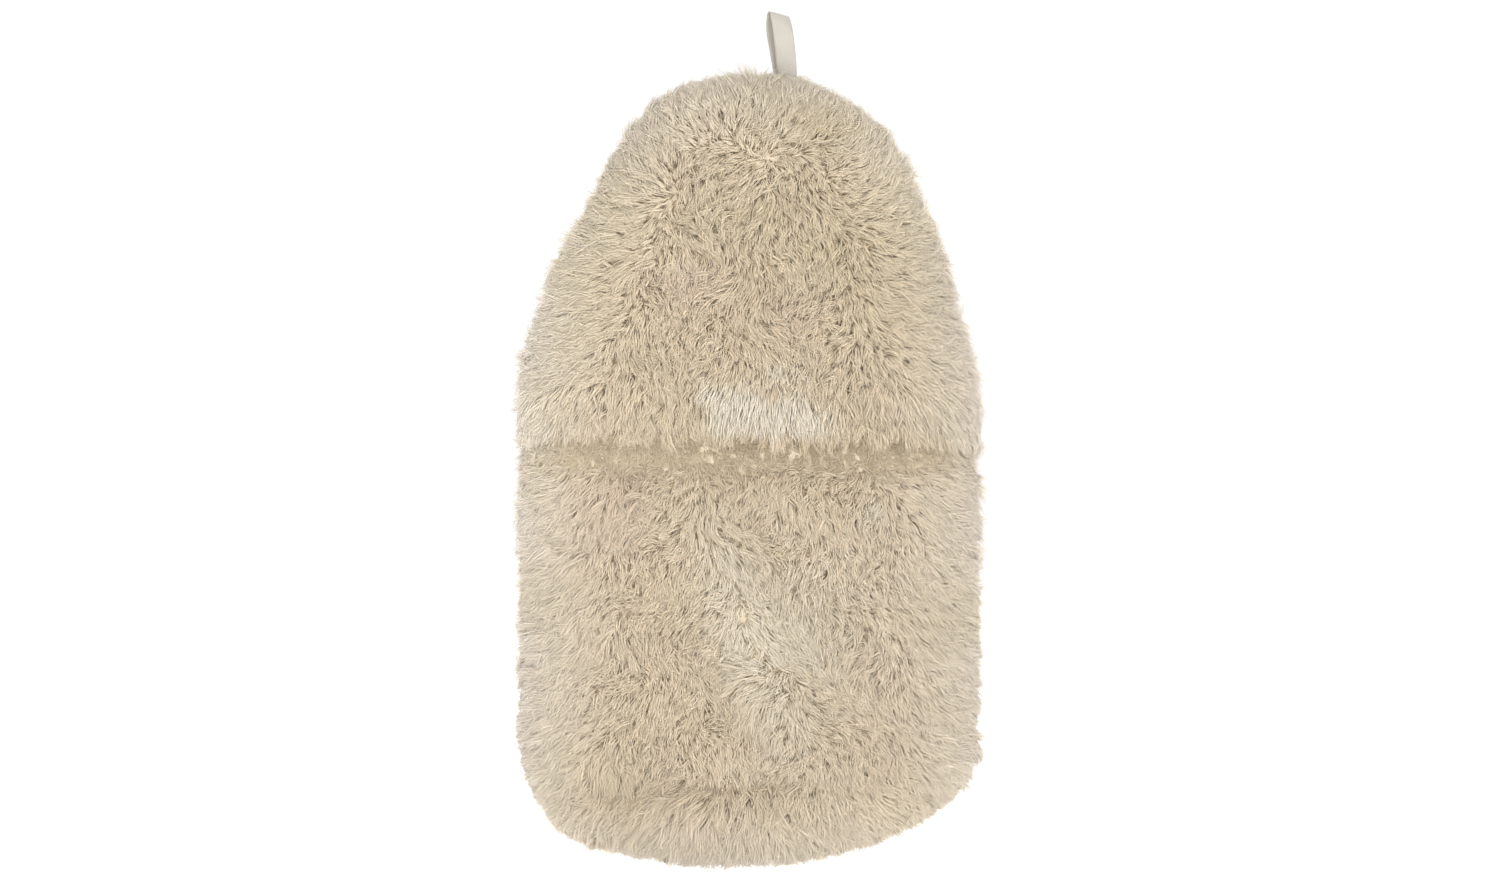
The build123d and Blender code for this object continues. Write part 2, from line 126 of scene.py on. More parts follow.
# Pile. It grows in clumps of strands, and each strand is a thin solid.
CLUMP_SPACING = 2.75 * MM
PLAIN_SPACING = 3.2 * MM
STRANDS = 10  # in each clump
CLUMP_RADIUS = 2.1 * MM
STRAND_RADIUS = 0.26 * MM
RING_SHARES = (0.0, 0.4, 0.75, 1.0)  # along a strand: three rings of corners and a tip
RING_WIDTHS = (1.0, 0.95, 0.62)  # shares of the radius at each ring
RING_PAINTED_SHADE = (0.96, 0.985, 1.0, 1.0)  # painted shade: strands are a little darker towards the root, where the pile shades itself
ROOT_DEPTH = 0.8 * MM
CURL, CURL_TURN = 1.1 * MM, 3.2  # sideways swing of a clump, and its turn in radians from root to tip
STRAY = 0.9 * MM  # sideways swing of a single strand's tip
LIE_POWER, GATHER_POWER = 1.7, 1.3  # strands lean over and draw together mostly near their tips
LENGTH_VARIATION, TURN_VARIATION = 0.12, 0.38
PILE_RISE, POCKET_RISE, PRESSED_RISE = 5.6 * MM, 5.2 * MM, 1.5 * MM  # height off the cloth
HEM_REACH, PRESSED_REACH = 8.0 * MM, 4.0 * MM  # length along the cloth
TRIES_PER_CELL, JITTER = 10, 0.35  # for spreading the clumps
CELL_LIMIT = 4096  # more cells than the cover has along any axis
MAX_STRANDS = 12000  # in one piece

# Light.
PILE_BOUNCES = 16  # light passes from fibre to fibre many times before it leaves pale pile
LIGHT_FROM_AROUND, LIGHT_TO_CAMERA = 0.73, 1.05

# Ribbon.
RIBBON_TWIST, RIBBON_TILT = math.radians(20), -0.22
RIBBON_COLUMNS, RIBBON_STEPS = 9, 10  # points across, and between two knots of its path
RIBBON_CUP, RIBBON_HALF_THICKNESS = 0.35 * MM, 0.22 * MM

# Colours, linear.
PILE_COLOUR = (0.912, 0.802, 0.62)
# Painted rim light: the pile's pale colour along the outline.
PILE_PAINTED_RIM_LIGHT = (0.982, 0.953, 0.908)
PILE_PALE = (0.99, 0.935, 0.815)
PILE_PEACH = (0.91, 0.78, 0.63)
PILE_TAN = (0.87, 0.77, 0.57)
# Painted shade: darker pile in the crease and in the hem's shadow.
PILE_PAINTED_SHADE = (0.80, 0.68, 0.49)
CLOTH_COLOUR = (0.55, 0.45, 0.32)
UNDERFUR_COLOUR = (0.73, 0.64, 0.485)
RIBBON_COLOUR = (0.358, 0.332, 0.288)


# Shape of the cover


def width_share(z, inset):
    """Share of the full half width that the outline has at each height."""
    low = np.clip((BASE_Z - z) / (BASE_Z - inset), 0, 1)
    high = np.clip((z - SHOULDER_Z) / (HEIGHT - inset - SHOULDER_Z), 0, 1)
    taper = (1 - low**BASE_POWER) ** BASE_ROOT * (1 - high**TOP_POWER) ** TOP_ROOT
    return taper * (1 - WAIST_SHARE * bump_at(z, WAIST_Z, WAIST_SPREAD))


def depth_share(z, inset):
    """Share of the full half depth at each height."""
    from_end = np.clip(np.minimum(z - inset, HEIGHT - inset - z) / END_ROUND, 0, 1)
    return (1 - (1 - from_end) ** DEPTH_POWER) ** (1 / DEPTH_POWER)


def lean(z):
    """Sideways drift of the outline: right near the top, left at the base."""
    crown = 4.5 * MM * bump_at(z, 352 * MM, 24 * MM)
    below_crown = 2.2 * MM * bump_at(z, 322 * MM, 18 * MM)
    base = 10.0 * MM * bump_at(z, 17 * MM, 17 * MM)
    return crown + below_crown - base


def waves(x, z, wavelength, seed):
    """Smooth irregular pattern of about -1 to 1. The seed picks the pattern."""
    rng = np.random.default_rng(seed)
    total = np.zeros_like(x)
    count = 6
    for _ in range(count):
        angle, phase = rng.uniform(0, 2 * math.pi, 2)
        turn = 2 * math.pi / (wavelength * rng.uniform(0.7, 1.5))
        total += np.sin(turn * (x * math.cos(angle) + z * math.sin(angle)) + phase)
    return total / math.sqrt(2 * count)


def bump_at(value, centre, spread):
    """Bell curve round centre."""
    return np.exp(-(((value - centre) / spread) ** 2))


def ridge_x(z):
    """Where the raised parting of the pocket's pile runs, at each height."""
    return RIDGE_TOP_X + (RIDGE_TOP_Z - z) / RIDGE_FALL * RIDGE_RUN


def on_ridge(x, z):
    """1 on the parting's crest, fading out to its sides and ends."""
    return bump_at(x, ridge_x(z), RIDGE_SPREAD) * bump_at(z, RIDGE_MIDDLE_Z, 62 * MM)


def crease_z(x):
    """Height of the crease that runs across the pocket above its rounded base."""
    return CREASE_MIDDLE_Z + 3 * MM * np.sin((x + 20 * MM) / (32 * MM))


def in_crease(x, z):
    """1 at the bottom of the crease, fading out to its sides and ends."""
    return bump_at(z, crease_z(x), CREASE_SPREAD) * bump_at(x, CREASE_MIDDLE_X, 62 * MM)


def swell(x, z, side):
    """How far the soft cover stands out or sinks from its plain cushion shape."""
    lumps = LUMP_RISE * waves(x, z, LUMP_LENGTH, 3 + side)
    if side > 0:
        return lumps
    below_hem = z < HEM_Z
    pocket_relief = RIDGE_RISE * on_ridge(x, z) - CREASE_DROP * in_crease(x, z)
    near_hem = bump_at(z, HEM_Z, 40 * MM)
    flattened = np.where(below_hem, 1 - 0.8 * near_hem, 1 - near_hem)
    return (lumps + np.where(below_hem, pocket_relief, 0)) * flattened


def end_spaced(low, high, count):
    """Values from low to high, closer together towards both ends."""
    return low + (high - low) * (1 - np.cos(np.pi * np.arange(count) / (count - 1))) / 2


def pocket_layer(heights):
    """Inset and half depth of the pocket's cloth at each height."""
    tucked = np.clip((heights - TUCK_START_Z) / (TUCK_END_Z - TUCK_START_Z), 0, 1)
    tucked = tucked**2 * (3 - 2 * tucked)
    return tuple(out + (under - out) * tucked for out, under in zip(POCKET_CLOTH, POCKET_TOP_CLOTH))


def surface(heights, from_x, to_x, layer, side, columns):
    """Grid of points on a cushion-shaped layer. from_x and to_x limit it across; None is the seam."""
    inset, depth = np.array(layer[0]), layer[1]
    shaped = np.clip(heights, inset + TIP_FLAT, HEIGHT - inset - TIP_FLAT)
    half_width = (HALF_WIDTH - inset) * width_share(shaped, inset)
    half_depth = depth * depth_share(shaped, inset)
    first = np.zeros_like(heights) if from_x is None else np.arccos(np.clip(from_x / half_width, -1, 1))
    last = np.full_like(heights, np.pi) if to_x is None else np.arccos(np.clip(to_x / half_width, -1, 1))
    share = np.linspace(0, 1, columns)
    theta = first[:, None] + (last - first)[:, None] * share[None, :]
    x = half_width[:, None] * np.cos(theta)
    z = np.broadcast_to(heights[:, None], x.shape)
    inward = np.sin(theta)
    stand = swell(x, z, side) * inward**1.5 * (half_depth / depth)[:, None]
    y = side * (half_depth[:, None] * inward + stand)
    for end in (0, -1):
        if min(heights[end], HEIGHT - heights[end]) < 2 * inset.min():
            y[end] = 0  # the two sides meet at the seam
    return np.stack([x + lean(z), y, z], axis=-1)


def unit(vectors):
    """The vectors at length 1. A zero vector stays zero."""
    return vectors / np.maximum(np.linalg.norm(vectors, axis=-1, keepdims=True), 1e-12)


def grid_normals(grid, side):
    """Outward unit normal at each point of a grid."""
    along = np.gradient(grid, axis=0)
    across = np.gradient(grid, axis=1)
    return unit(np.cross(along, across) * -side)


# Meshes


def add_mesh(name, points, loops, sizes):
    """Mesh object from flat arrays: corner indices of all faces, and each face's corner count."""
    mesh = bpy.data.meshes.new(name)
    mesh.vertices.add(len(points))
    mesh.vertices.foreach_set("co", np.ascontiguousarray(points, np.float32).ravel())
    mesh.loops.add(len(loops))
    mesh.loops.foreach_set("vertex_index", np.ascontiguousarray(loops, np.int32))
    mesh.polygons.add(len(sizes))
    starts = np.concatenate([[0], np.cumsum(sizes)[:-1]])
    mesh.polygons.foreach_set("loop_start", starts.astype(np.int32))
    mesh.update(calc_edges=True)
    mesh.shade_smooth()
    piece = bpy.data.objects.new(name, mesh)
    bpy.context.scene.collection.objects.link(piece)
    return piece


def quads_of(rows, columns, offset, flip):
    """Corner indices of a grid's faces."""
    index = np.arange(rows * columns).reshape(rows, columns) + offset
    corners = [index[:-1, :-1], index[:-1, 1:], index[1:, 1:], index[1:, :-1]]
    if flip:
        corners.reverse()
    return np.stack(corners, axis=-1).reshape(-1, 4)


def shell(name, outside, inside, side, materials):
    """Closed cloth between two grids of the same size. The first material is for the outside."""
    rows, columns = outside.shape[:2]
    count = rows * columns
    index = np.arange(count).reshape(rows, columns)
    rim = np.concatenate([index[0, :-1], index[:-1, -1], index[-1, :0:-1], index[:0:-1, 0]])
    following = np.roll(rim, -1)
    wall = np.stack([following, rim, rim + count, following + count], axis=-1)
    if side > 0:
        wall = wall[:, ::-1]
    faces = [quads_of(rows, columns, 0, side > 0), quads_of(rows, columns, count, side < 0), wall]
    loops = np.concatenate(faces).ravel()
    points = np.concatenate([outside.reshape(-1, 3), inside.reshape(-1, 3)])
    piece = add_mesh(name, points, loops, np.full(len(loops) // 4, 4))
    for material in materials:
        piece.data.materials.append(material)
    inner = np.arange(len(loops) // 4) >= len(faces[0])
    piece.data.polygons.foreach_set("material_index", inner.astype(np.int32) * (len(materials) - 1))
    return piece


# Pile


def scatter(grid, side, spacing, rng):
    """Evenly spread points on a grid of surface points, and the normal at each.

    Of many random points, each cube of space keeps the one nearest its centre, give or take a jitter.
    """
    normals = grid_normals(grid, side)
    across_one = grid[1:, 1:] - grid[:-1, :-1]
    across_two = grid[:-1, 1:] - grid[1:, :-1]
    areas = np.linalg.norm(np.cross(across_one, across_two), axis=-1).ravel() / 2
    tries = int(TRIES_PER_CELL * areas.sum() / spacing**2)
    cells = rng.choice(len(areas), tries, p=areas / areas.sum())
    row, column = np.unravel_index(cells, across_one.shape[:2])
    u, v = rng.random((2, tries, 1))

    def mixed(values):
        low = values[row, column] * (1 - v) + values[row, column + 1] * v
        high = values[row + 1, column] * (1 - v) + values[row + 1, column + 1] * v
        return low * (1 - u) + high * u

    points = mixed(grid)
    cell = np.floor(points / spacing)
    off_centre = np.linalg.norm(points / spacing - cell - 0.5, axis=1) + JITTER * rng.random(tries)
    order = np.argsort(off_centre, kind="stable")
    key = (cell @ np.array([1, CELL_LIMIT, CELL_LIMIT**2])).astype(np.int64)
    first = order[np.unique(key[order], return_index=True)[1]]
    return points[first], unit(mixed(normals)[first])


def from_outline(x, z):
    """Distance from the cover's outline, seen from the front."""
    margin = 2 * MM
    half_width = HALF_WIDTH * width_share(np.clip(z, margin, HEIGHT - margin), 0)
    return np.maximum(np.minimum(half_width - np.abs(x - lean(z)), np.minimum(z, HEIGHT - z)), 0)


def outwards(x, z):
    """Unit direction away from the cover's middle: across and up."""
    core_top_z, steepness = 290 * MM, 1.3
    core_z = np.clip(z, BASE_Z, core_top_z)
    up = steepness * (z - core_z)
    length = np.hypot(x, up) + 1e-9
    return x / length, up / length


def edge_share(x, z, start=16 * MM, full=56 * MM):
    """1 near the outline, falling to 0 in the middle."""
    return np.clip((full - from_outline(x, z)) / (full - start), 0, 1)


# The next three functions give the across and up parts of the pile's lie. Their weights are given in them.


def pocket_comb(x, z):
    """The pocket's pile lies down, away from the parting, and out at the sides."""
    edge = edge_share(x, z)
    out_x, out_z = outwards(x, z)
    off_ridge = x - ridge_x(z)
    parting = off_ridge / (np.abs(off_ridge) + 5 * MM) * bump_at(off_ridge, 0, 26 * MM)
    parting = parting * bump_at(z, RIDGE_MIDDLE_Z, 75 * MM)
    free = 1 - edge
    across = 1.15 * edge * out_x + 0.9 * parting + free * 0.65 * waves(x, z, 42 * MM, 11)
    up = 0.9 * edge * out_z - 0.62 + free * 0.55 * waves(x, z, 36 * MM, 12)
    return across, up


def flap_comb(x, z):
    """The flap's pile lies outwards along its edges, swirls in its middle, and hangs down at the hem."""
    edge = edge_share(x, z)
    out_x, out_z = outwards(x, z)
    free = 1 - edge
    across = 1.25 * edge * out_x + free * 0.7 * waves(x, z, 38 * MM, 21)
    up = 1.1 * edge * out_z + free * (0.5 * waves(x, z, 33 * MM, 22) - 0.7) - 0.12 * edge
    hanging = np.clip((HEM_Z + 28 * MM - z) / (18 * MM), 0, 1)
    up = up - 1.5 * hanging
    across = across * (1 - 0.4 * hanging) + 0.5 * hanging * waves(x, z, 17 * MM, 23)
    across = across + 0.3 * pale_patch(x, z) * waves(x, z, 24 * MM, 24)
    return across, up


def plain_comb(x, z):
    """The far side's pile lies down and outwards."""
    edge = edge_share(x, z)
    out_x, out_z = outwards(x, z)
    free = 1 - edge
    across = 1.15 * edge * out_x + free * 0.55 * waves(x, z, 45 * MM, 31)
    up = 1.1 * edge * out_z - 0.6 + free * 0.5 * waves(x, z, 40 * MM, 32)
    return across, up


def pile_colour(points, side):
    """Colour of the pile at each root: paler along the outline as painted rim light, with tinted areas and
    painted shade on the envelope side.
    """
    x, z = points[:, 0], points[:, 2]
    colour = np.tile(PILE_COLOUR, (len(points), 1))

    tints = [
        # Painted rim light: the pile is paler towards the outline, where light comes through it from
        # behind.
        (PILE_PAINTED_RIM_LIGHT, 0.9 * np.exp(-from_outline(x, z) / (24 * MM))),
        (PILE_TAN, 0.30 * np.maximum(waves(x, z, 60 * MM, 41 + side), 0)),
    ]
    if side < 0:
        tints += envelope_tints(x, points[:, 1], z)
    for towards, amount in tints:
        weight = np.clip(amount, 0, 1)[:, None]
        colour = colour * (1 - weight) + np.array(towards) * weight
    return colour


def envelope_tints(x, y, z):
    """Tinted areas of the envelope side's pile, among them painted shade in the crease and under the hem:
    each colour, and how much of it each root takes.
    """

    def spot(centre_x, spread_x, centre_z, spread_z):
        """Soft oval area, given in millimetres."""
        return bump_at(x, centre_x * MM, spread_x * MM) * bump_at(z, centre_z * MM, spread_z * MM)

    upper_middle = spot(10, 60, 318, 40)
    upper_sides = bump_at(np.abs(x), 64 * MM, 24 * MM) * bump_at(z, 300 * MM, 55 * MM)
    right_of_crown, right_shoulder = spot(32, 17, 362, 9), spot(40, 14, 318, 18)
    pocket_upper_left, pocket_middle = spot(-66, 17, 186, 30), spot(24, 40, 125, 50)
    flap_left_of_middle, flap_above_patch = spot(-28, 24, 294, 13), spot(22, 16, 276, 11)
    shaded_by_hem = under_hem(z) * (1 - edge_share(x, z, 4 * MM, 26 * MM))
    uncovered = (z < HEM_Z) | (y < -26 * MM)
    return [
        (PILE_TAN, 0.5 * upper_middle),
        (PILE_TAN, 0.5 * upper_sides),
        (PILE_TAN, 0.8 * right_of_crown),
        (PILE_TAN, 0.8 * right_shoulder),
        (PILE_PEACH, 0.8 * pocket_upper_left),
        (PILE_PEACH, 0.8 * flap_left_of_middle),
        (PILE_PEACH, 0.7 * flap_above_patch),
        (PILE_PALE, 0.45 * pocket_middle * (z < HEM_Z - 20 * MM)),
        (PILE_PALE, 0.6 * on_ridge(x, z) * (z < HEM_Z)),
        # Painted shade in the crease.
        (PILE_PAINTED_SHADE, 0.6 * in_crease(x, z)),
        # Painted shadow of the flap's hem on the pocket below it.
        (PILE_PAINTED_SHADE, 0.75 * shaded_by_hem),
        (PILE_PALE, pale_patch(x, z) * uncovered),
    ]


def under_hem(z):
    """1 on the strip of pocket that the flap's lower edge presses and shades."""
    return np.clip((z - HEM_Z + 26 * MM) / (13 * MM), 0, 1) * (z < HEM_Z)


def pale_patch(x, z):
    """1 where the flap's pile is ruffled over the closure, and on a small tuft of the pocket."""
    middle_x, half_width, soft_edge = 9 * MM, 34 * MM, 7 * MM
    ragged = 3.5 * MM * waves(x, z, 19 * MM, 61)
    top_z = 244 * MM - 0.2 * (x - 4 * MM) + ragged
    across = np.clip((half_width + ragged - np.abs(x - middle_x)) / soft_edge, 0, 1)
    up = np.clip((top_z - z) / soft_edge, 0, 1) * np.clip((z - 219 * MM) / (3 * MM), 0, 1)
    above = bump_at(x, 15 * MM, 13 * MM) * bump_at(z, 249 * MM, 5 * MM)
    tuft = bump_at(x, 60 * MM, 5 * MM) * bump_at(z, 180 * MM, 5 * MM)
    return np.clip(across * up + 0.7 * above + 0.8 * tuft, 0, 1)


def strand_lines(roots, normals, lie, rise, reach, gather_range, calm, rng):
    """Centre points of every strand at each ring and the tip, and the sideways direction of each strand.

    calm is 1 where the strands of a clump stay apart instead of gathering into a tuft.
    """
    count = len(roots)
    sideways = unit(np.cross(normals, lie))
    calm = calm[:, None]
    curl = rng.normal(0, CURL, (count, 1)) * (1 - 0.7 * calm)
    phase = rng.uniform(0, 2 * math.pi, (count, 1))
    gather = rng.uniform(*gather_range, (count, 1)) * (1 - 0.9 * calm)

    def spread(values):
        return np.repeat(values, STRANDS, axis=0)

    total = count * STRANDS
    angle = rng.uniform(0, 2 * math.pi, (total, 1))
    radius = CLUMP_RADIUS * np.sqrt(rng.random((total, 1))) * spread(1 + 0.4 * calm)
    offset = radius * (np.cos(angle) * spread(lie) + np.sin(angle) * spread(sideways))
    vary = rng.normal(1, LENGTH_VARIATION, (total, 2))
    high = spread(rise) * vary[:, :1]
    long = spread(reach) * vary[:, 1:]
    stray = rng.normal(0, STRAY, (total, 1))
    start = spread(roots) + offset - spread(normals) * ROOT_DEPTH
    lines = []
    for share in RING_SHARES:
        bend = spread(curl) * (np.sin(CURL_TURN * share + spread(phase)) - np.sin(spread(phase)))
        point = start + spread(normals) * (ROOT_DEPTH * share + high * (1 - (1 - share) ** 2))
        point += spread(lie) * long * share**LIE_POWER + spread(sideways) * (bend + stray * share)
        point -= offset * spread(gather) * share**GATHER_POWER
        lines.append(point)
    return np.stack(lines, axis=1), spread(sideways)


def strand_mesh(name, lines, sideways, widths, colours):
    """Three-sided tapering strands, each a closed solid that ends in a point."""
    count = len(lines)
    rings = len(RING_WIDTHS)
    corners = []
    for ring in range(rings):
        ahead = unit(lines[:, ring + 1] - lines[:, max(ring - 1, 0)])
        across = unit(np.cross(ahead, sideways))
        radius = widths * RING_WIDTHS[ring]
        for corner in range(3):
            angle = 2 * math.pi * corner / 3
            spoke = math.cos(angle) * sideways + math.sin(angle) * across
            corners.append(lines[:, ring] + radius * spoke)
    corners.append(lines[:, rings])
    points = np.stack(corners, axis=1).reshape(-1, 3)
    pattern, uv, sizes = strand_pattern(rings)
    per_strand = 3 * rings + 1
    loops = (pattern[None, :] + per_strand * np.arange(count)[:, None]).ravel()
    piece = add_mesh(name, points, loops, np.tile(sizes, count))
    lay_out(piece.data, count, uv)
    shade = piece.data.attributes.new("Shade", "FLOAT_COLOR", "POINT")
    # Painted shade: each strand is darker towards its root.
    ramp = np.repeat(RING_PAINTED_SHADE, [3] * rings + [1])
    values = np.ones((count, per_strand, 4), np.float32)
    values[:, :, :3] = colours[:, None, :] * ramp[None, :, None]
    shade.data.foreach_set("color", np.clip(values, 0, 1).ravel())
    return piece


def strand_pattern(rings):
    """One strand's corner indices, their places in its strip of the map, and its faces' corner counts."""
    loops, uv, sizes = [], [], []

    def corner(index, across, along):
        loops.append(index)
        uv.append((across, along))

    for ring in range(rings):
        low, high = ring / rings, (ring + 1) / rings
        for side in range(3):
            after = (side + 1) % 3
            corner(3 * ring + side, side / 3, low)
            corner(3 * ring + after, (side + 1) / 3, low)
            if ring + 1 < rings:
                corner(3 * ring + 3 + after, (side + 1) / 3, high)
                corner(3 * ring + 3 + side, side / 3, high)
            else:
                corner(3 * rings, (side + 0.5) / 3, 1.0)
            sizes.append(4 if ring + 1 < rings else 3)
    for index, across in ((0, 0.2), (2, 0.8), (1, 0.5)):
        corner(index, across, 0.0)
    sizes.append(3)
    return np.array(loops), np.array(uv), np.array(sizes)


def lay_out(mesh, count, uv):
    """Map in which every strand has its own strip, so that a baked colour keeps each strand's shade."""
    columns = max(1, int(math.sqrt(count * 4)))
    rows = math.ceil(count / columns)
    index = np.arange(count)
    corner = np.stack([index % columns, index // columns], axis=-1)[:, None, :]
    margin = 0.12
    placed = (corner + margin + (1 - 2 * margin) * uv[None, :, :]) / np.array([columns, rows])
    layer = mesh.uv_layers.new(name="OFBake")
    layer.data.foreach_set("uv", placed.astype(np.float32).ravel())


def combed(roots, normals, comb, calm, rng):
    """Direction along the cloth that each clump lies in, and how strongly it is combed that way."""
    across, up = comb(roots[:, 0], roots[:, 2])
    turn = rng.normal(0, TURN_VARIATION, len(roots)) * (1 - 0.6 * calm)
    direction = np.stack([
        across * np.cos(turn) - up * np.sin(turn),
        np.zeros(len(roots)),
        across * np.sin(turn) + up * np.cos(turn),
    ], axis=-1)
    strength = np.clip(np.linalg.norm(direction, axis=-1), 0.25, 1.3)
    lie = direction - normals * np.sum(direction * normals, axis=-1, keepdims=True)
    return unit(lie), strength


def strand_colours(roots, side, rng):
    """Every strand's colour: its root's, a little darker by clump and by strand."""
    by_clump = np.repeat(1 - 0.05 * rng.random((len(roots), 1)), STRANDS, axis=0)
    colours = np.repeat(pile_colour(roots, side), STRANDS, axis=0) * by_clump
    return colours * (1 - 0.05 * rng.random((len(colours), 1)))


def grow(name, grid, side, comb, heights, seed, keep=None, spacing=CLUMP_SPACING, gather=(0.1, 0.6)):
    """Pile over a grid of surface points, as pieces of limited size. Returns the pieces.

    comb gives the lie at each place, heights gives the pile's rise off the cloth and its reach along
    it, keep picks the roots, and gather is how far strands draw together at their tips.
    """
    rng = np.random.default_rng(seed)
    roots, normals = scatter(grid, side, spacing, rng)
    if keep is not None:
        kept = keep(roots)
        roots, normals = roots[kept], normals[kept]
    x, z = roots[:, 0], roots[:, 2]
    calm = pale_patch(x, z) * (side < 0)
    lie, strength = combed(roots, normals, comb, calm, rng)
    rise, reach = heights(roots, strength)
    rise = (rise * rng.uniform(0.85, 1.1, len(roots)))[:, None]
    reach = (reach * rng.uniform(0.75, 1.2, len(roots)))[:, None]
    lines, sideways = strand_lines(roots, normals, lie, rise, reach, gather, calm, rng)
    colours = strand_colours(roots, side, rng)
    widths = STRAND_RADIUS * rng.uniform(0.7, 1.25, (len(lines), 1))
    pieces = []
    parts = math.ceil(len(lines) / MAX_STRANDS)
    order = np.argsort(np.repeat(z, STRANDS), kind="stable")
    for number, chosen in enumerate(np.array_split(order, parts)):
        label = name if parts == 1 else f"{name}_{number + 1}"
        piece = strand_mesh(label, lines[chosen], sideways[chosen], widths[chosen], colours[chosen])
        piece.data.materials.append(PILE)
        pieces.append(piece)
    return pieces


# Pile length over each cloth: its rise off the cloth, and its reach along it


def flap_heights(roots, strength):
    """The pile hangs over the hem in tufts, and one long tuft stands left of the ribbon."""
    x, z = roots[:, 0], roots[:, 2]
    rise = PILE_RISE + 1.0 * MM * pale_patch(x, z)
    hem = np.clip((CLOTH_HEM_Z + 9 * MM - z) / (6 * MM), 0, 1)
    tufts = 1 + 0.5 * waves(x, 0 * z, 13 * MM, 51) + 0.25 * x / HALF_WIDTH
    reach = combed_reach(x, z, strength) * (1 - hem) + HEM_REACH * tufts * hem
    stray = bump_at(x, 0, 6 * MM) * bump_at(z, HEIGHT - 10 * MM, 7 * MM)
    return rise + 0.6 * MM * hem + tufts_at_edge(x, z), reach + 11 * MM * stray


def tufts_at_edge(x, z):
    """Extra height of the pile along the outline, where it stands out in tufts."""
    tuft = np.clip(waves(x, z, 11 * MM, 54) + 0.1, -0.5, 1.0)
    return 4.2 * MM * tuft * edge_share(x, z, 3 * MM, 14 * MM)


def combed_reach(x, z, strength):
    """How far the pile reaches along the cloth. It is longer where it is combed more strongly."""
    return (3.2 + 6.2 * strength) * MM * uneven(x, z)


def uneven(x, z):
    """Length varies from tuft to tuft along the outline, and the pile lies longest a little way in."""
    change = 0.5 * waves(x, z, 10 * MM, 52) + 0.5 * waves(x, z, 20 * MM, 53)
    further_in = 0.4 * edge_share(x, z, 24 * MM, 50 * MM) * (1 - edge_share(x, z, 8 * MM, 20 * MM))
    return np.maximum(1 + change * edge_share(x, z, 3 * MM, 20 * MM) + further_in, 0.6)


def pocket_heights(roots, strength):
    """The pile is pressed flat where the flap covers it, but not at the seams."""
    x, z = roots[:, 0], roots[:, 2]
    pressed = np.clip((z - (HEM_Z - 24 * MM)) / (8 * MM), 0, 1)
    pressed = pressed * np.where(z < HEM_Z + 5 * MM, 1 - edge_share(x, z, 5 * MM, 22 * MM), 1)
    rise = POCKET_RISE * (1 - pressed) + PRESSED_RISE * pressed
    rise = rise + tufts_at_edge(x, z) * (1 - pressed)
    return rise, combed_reach(x, z, strength) * (1 - pressed) + PRESSED_REACH * pressed


def plain_heights(roots, strength):
    """The far side's pile has one height, apart from the tufts along the outline."""
    x, z = roots[:, 0], roots[:, 2]
    return PILE_RISE + tufts_at_edge(x, z), combed_reach(x, z, strength)


# Materials


def new_material(name):
    """Material, its nodes, its links and its main shader."""
    material = bpy.data.materials.new(name)
    material.use_nodes = True
    nodes = material.node_tree.nodes
    return material, nodes, material.node_tree.links, nodes["Principled BSDF"]


def placed_texture(nodes, links, kind, scale):
    """Texture node that is fixed to the object. Its scale is per metre."""
    coordinates = nodes.new("ShaderNodeTexCoord")
    texture = nodes.new(kind)
    texture.inputs["Scale"].default_value = scale
    links.new(coordinates.outputs["Object"], texture.inputs["Vector"])
    return texture


def noise(nodes, links, scale, detail=4.0):
    texture = placed_texture(nodes, links, "ShaderNodeTexNoise", scale)
    texture.inputs["Detail"].default_value = detail
    return texture


def ramp_between(nodes, links, factor, low, high):
    """Colour that runs from low to high with a factor."""
    mix = nodes.new("ShaderNodeMix")
    mix.data_type = "RGBA"
    mix.inputs["A"].default_value = (*low, 1)
    mix.inputs["B"].default_value = (*high, 1)
    links.new(factor, mix.inputs["Factor"])
    return mix.outputs["Result"]


def scaled(colour, factor):
    """The colour made darker or lighter, at most white."""
    return tuple(min(1.0, c * factor) for c in colour)


def mottled_colour(nodes, links, bsdf, texture, colour, darkest, lightest):
    """Base colour that varies with a texture, between two multiples of one colour."""
    low, high = scaled(colour, darkest), scaled(colour, lightest)
    varied = ramp_between(nodes, links, texture.outputs["Fac"], low, high)
    links.new(varied, bsdf.inputs["Base Color"])


def add_bump(nodes, links, bsdf, height, strength, distance):
    bump = nodes.new("ShaderNodeBump")
    bump.inputs["Strength"].default_value = strength
    bump.inputs["Distance"].default_value = distance
    links.new(height, bump.inputs["Height"])
    links.new(bump.outputs["Normal"], bsdf.inputs["Normal"])


def add_weave(nodes, links, bsdf, scale, strength):
    """Fine ribs, stacked along Z, as bump."""
    ribs = placed_texture(nodes, links, "ShaderNodeTexWave", scale)
    ribs.bands_direction = "Z"
    ribs.inputs["Distortion"].default_value = 0.6
    add_bump(nodes, links, bsdf, ribs.outputs["Fac"], strength, 0.1 * MM)


